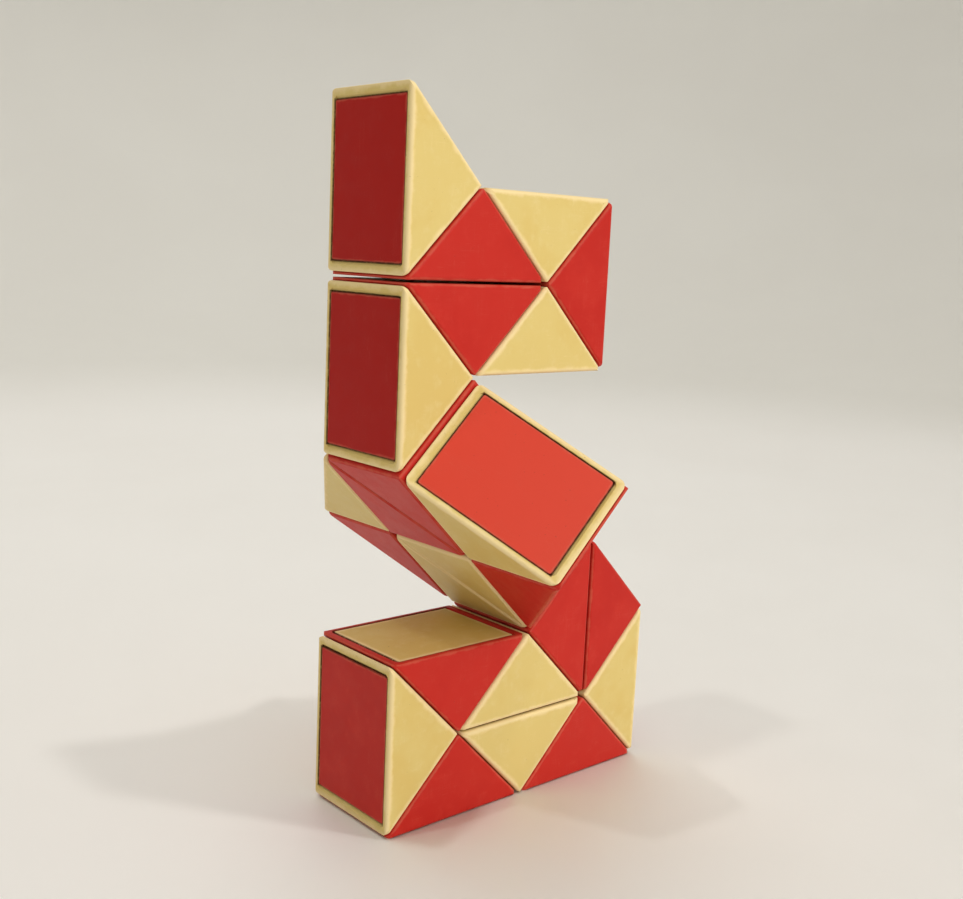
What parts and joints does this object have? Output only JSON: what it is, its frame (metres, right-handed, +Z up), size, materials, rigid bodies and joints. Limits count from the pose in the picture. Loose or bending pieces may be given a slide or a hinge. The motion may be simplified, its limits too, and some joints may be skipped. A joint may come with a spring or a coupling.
{
  "type": "twisty snake puzzle",
  "caption": "Chain of hollow right-angled wedges in two colours, joined face to face by spring-loaded swivels and folded into a standing figure.",
  "frame": {"origin": "middle of the footprint, on the surface that the folded figure stands on", "axes": "+Z up, +X to the figure's right as its front is seen, and the front faces -Y. The triangular faces of the upper and lower groups look along Y; swivel axes lie along Y or at 45 degrees in the XZ plane."},
  "size_m": [0.0702, 0.0732, 0.1403],
  "materials": {
    "cream_plastic": "semi-gloss moulded plastic, cream yellow",
    "red_plastic": "semi-gloss moulded plastic, red",
    "steel": "zinc-plated screws, washers and springs"
  },
  "bodies": {
    "wedge_01": {"wedge_01_shell": "cream_plastic", "wedge_01_cover": "red_plastic", "wedge_01_spring_screws": "steel"},
    "wedge_02": {"wedge_02_shell": "red_plastic", "wedge_02_cover": "cream_plastic"},
    "wedge_03": {"wedge_03_shell": "cream_plastic", "wedge_03_cover": "red_plastic", "wedge_03_spring_screws": "steel"},
    "wedge_04": {"wedge_04_shell": "red_plastic", "wedge_04_cover": "cream_plastic"},
    "wedge_05": {"wedge_05_shell": "cream_plastic", "wedge_05_cover": "red_plastic", "wedge_05_spring_screws": "steel"},
    "wedge_06": {"wedge_06_shell": "red_plastic", "wedge_06_cover": "cream_plastic"},
    "wedge_07": {"wedge_07_shell": "cream_plastic", "wedge_07_cover": "red_plastic", "wedge_07_spring_screws": "steel"},
    "wedge_08": {"wedge_08_shell": "red_plastic", "wedge_08_cover": "cream_plastic"},
    "wedge_09": {"wedge_09_shell": "cream_plastic", "wedge_09_cover": "red_plastic", "wedge_09_spring_screws": "steel"},
    "wedge_10": {"wedge_10_shell": "red_plastic", "wedge_10_cover": "cream_plastic"},
    "wedge_11": {"wedge_11_shell": "cream_plastic", "wedge_11_cover": "red_plastic", "wedge_11_spring_screws": "steel"},
    "wedge_12": {"wedge_12_shell": "red_plastic", "wedge_12_cover": "cream_plastic"},
    "wedge_13": {"wedge_13_shell": "cream_plastic", "wedge_13_cover": "red_plastic", "wedge_13_spring_screws": "steel"},
    "wedge_14": {"wedge_14_shell": "red_plastic", "wedge_14_cover": "cream_plastic"},
    "wedge_15": {"wedge_15_shell": "cream_plastic", "wedge_15_cover": "red_plastic", "wedge_15_spring_screws": "steel"},
    "wedge_16": {"wedge_16_shell": "red_plastic", "wedge_16_cover": "cream_plastic"},
    "wedge_17": {"wedge_17_shell": "cream_plastic", "wedge_17_cover": "red_plastic", "wedge_17_spring_screws": "steel"},
    "wedge_18": {"wedge_18_shell": "red_plastic", "wedge_18_cover": "cream_plastic"},
    "wedge_19": {"wedge_19_shell": "cream_plastic", "wedge_19_cover": "red_plastic", "wedge_19_spring_screws": "steel"},
    "wedge_20": {"wedge_20_shell": "red_plastic", "wedge_20_cover": "cream_plastic"},
    "wedge_21": {"wedge_21_shell": "cream_plastic", "wedge_21_cover": "red_plastic", "wedge_21_spring_screws": "steel"},
    "wedge_22": {"wedge_22_shell": "red_plastic", "wedge_22_cover": "cream_plastic"},
    "wedge_23": {"wedge_23_shell": "cream_plastic", "wedge_23_cover": "red_plastic", "wedge_23_spring_screws": "steel"},
    "wedge_24": {"wedge_24_shell": "red_plastic", "wedge_24_cover": "cream_plastic"}
  },
  "joints": [
    {"name": "swivel_01_02", "type": "hinge", "parent": "wedge_02", "child": "wedge_01", "pos_m": [-0.02652, 0, 0.11465], "axis": [0.7071, 0, -0.7071], "continuous": true},
    {"name": "swivel_02_03", "type": "hinge", "parent": "wedge_03", "child": "wedge_02", "pos_m": [-0.00884, 0, 0.11465], "axis": [0.7071, 0, 0.7071], "range_deg": [-2, 2]},
    {"name": "swivel_03_04", "type": "hinge", "parent": "wedge_04", "child": "wedge_03", "pos_m": [0.00884, 0, 0.11465], "axis": [-0.7071, 0, 0.7071], "range_deg": [-2, 2]},
    {"name": "swivel_04_05", "type": "hinge", "parent": "wedge_05", "child": "wedge_04", "pos_m": [0.00884, 0, 0.09698], "axis": [0.7071, 0, 0.7071], "range_deg": [-2, 2]},
    {"name": "swivel_05_06", "type": "hinge", "parent": "wedge_06", "child": "wedge_05", "pos_m": [-0.00884, 0, 0.09698], "axis": [-0.7071, 0, 0.7071], "range_deg": [-2, 2]},
    {"name": "swivel_06_07", "type": "hinge", "parent": "wedge_07", "child": "wedge_06", "pos_m": [-0.02652, 0, 0.09698], "axis": [-0.7071, 0, -0.7071], "continuous": true},
    {"name": "swivel_07_08", "type": "hinge", "parent": "wedge_08", "child": "wedge_07", "pos_m": [-0.02652, 0, 0.0793], "axis": [-0.7071, 0, 0.7071], "range_deg": [-4, 4]},
    {"name": "swivel_08_09", "type": "hinge", "parent": "wedge_09", "child": "wedge_08", "pos_m": [-0.01768, -0.0125, 0.07046], "axis": [0, 1, 0], "range_deg": [-3, 3]},
    {"name": "swivel_09_10", "type": "hinge", "parent": "wedge_10", "child": "wedge_09", "pos_m": [-0.00884, -0.025, 0.06162], "axis": [0.7071, 0, -0.7071], "range_deg": [-3, 3]},
    {"name": "swivel_10_11", "type": "hinge", "parent": "wedge_11", "child": "wedge_10", "pos_m": [0, -0.0125, 0.05278], "axis": [0, 1, 0], "range_deg": [-3, 3]},
    {"name": "swivel_11_12", "type": "hinge", "parent": "wedge_12", "child": "wedge_11", "pos_m": [-0.00884, 0, 0.06162], "axis": [0.7071, 0, -0.7071], "range_deg": [-3, 3]},
    {"name": "swivel_12_13", "type": "hinge", "parent": "wedge_13", "child": "wedge_12", "pos_m": [-0.01768, 0.0125, 0.07046], "axis": [0, 1, 0], "range_deg": [-3, 3]},
    {"name": "swivel_13_14", "type": "hinge", "parent": "wedge_14", "child": "wedge_13", "pos_m": [-0.00884, 0.025, 0.06162], "axis": [-0.7071, 0, 0.7071], "range_deg": [-3, 3]},
    {"name": "swivel_14_15", "type": "hinge", "parent": "wedge_15", "child": "wedge_14", "pos_m": [0, 0.0125, 0.05278], "axis": [0, -1, 0], "range_deg": [-3, 3]},
    {"name": "swivel_15_16", "type": "hinge", "parent": "wedge_16", "child": "wedge_15", "pos_m": [0.00884, 0, 0.04394], "axis": [0.7071, 0, -0.7071], "range_deg": [-6, 6]},
    {"name": "swivel_16_17", "type": "hinge", "parent": "wedge_17", "child": "wedge_16", "pos_m": [0.00884, 0, 0.02627], "axis": [-0.7071, 0, -0.7071], "range_deg": [-3, 3]},
    {"name": "swivel_17_18", "type": "hinge", "parent": "wedge_18", "child": "wedge_17", "pos_m": [-0.00884, 0, 0.02627], "axis": [-0.7071, 0, 0.7071], "range_deg": [-3, 3]},
    {"name": "swivel_18_19", "type": "hinge", "parent": "wedge_19", "child": "wedge_18", "pos_m": [-0.02652, 0, 0.02627], "axis": [0.7071, 0, 0.7071], "range_deg": [-3, 3]},
    {"name": "swivel_19_20", "type": "hinge", "parent": "wedge_20", "child": "wedge_19", "pos_m": [-0.02652, 0, 0.00859], "axis": [0.7071, 0, -0.7071], "range_deg": [-3, 3]},
    {"name": "swivel_20_21", "type": "hinge", "parent": "wedge_20", "child": "wedge_21", "pos_m": [-0.00884, 0, 0.00859], "axis": [0.7071, 0, 0.7071], "range_deg": [-3, 3]},
    {"name": "swivel_21_22", "type": "hinge", "parent": "wedge_21", "child": "wedge_22", "pos_m": [0.00884, 0, 0.00859], "axis": [0.7071, 0, -0.7071], "range_deg": [-3, 3]},
    {"name": "swivel_22_23", "type": "hinge", "parent": "wedge_22", "child": "wedge_23", "pos_m": [0.02652, 0, 0.00859], "axis": [0.7071, 0, 0.7071], "range_deg": [-3, 3]},
    {"name": "swivel_23_24", "type": "hinge", "parent": "wedge_23", "child": "wedge_24", "pos_m": [0.02652, 0, 0.02627], "axis": [0.7071, 0, -0.7071], "range_deg": [-3, 3]}
  ]
}
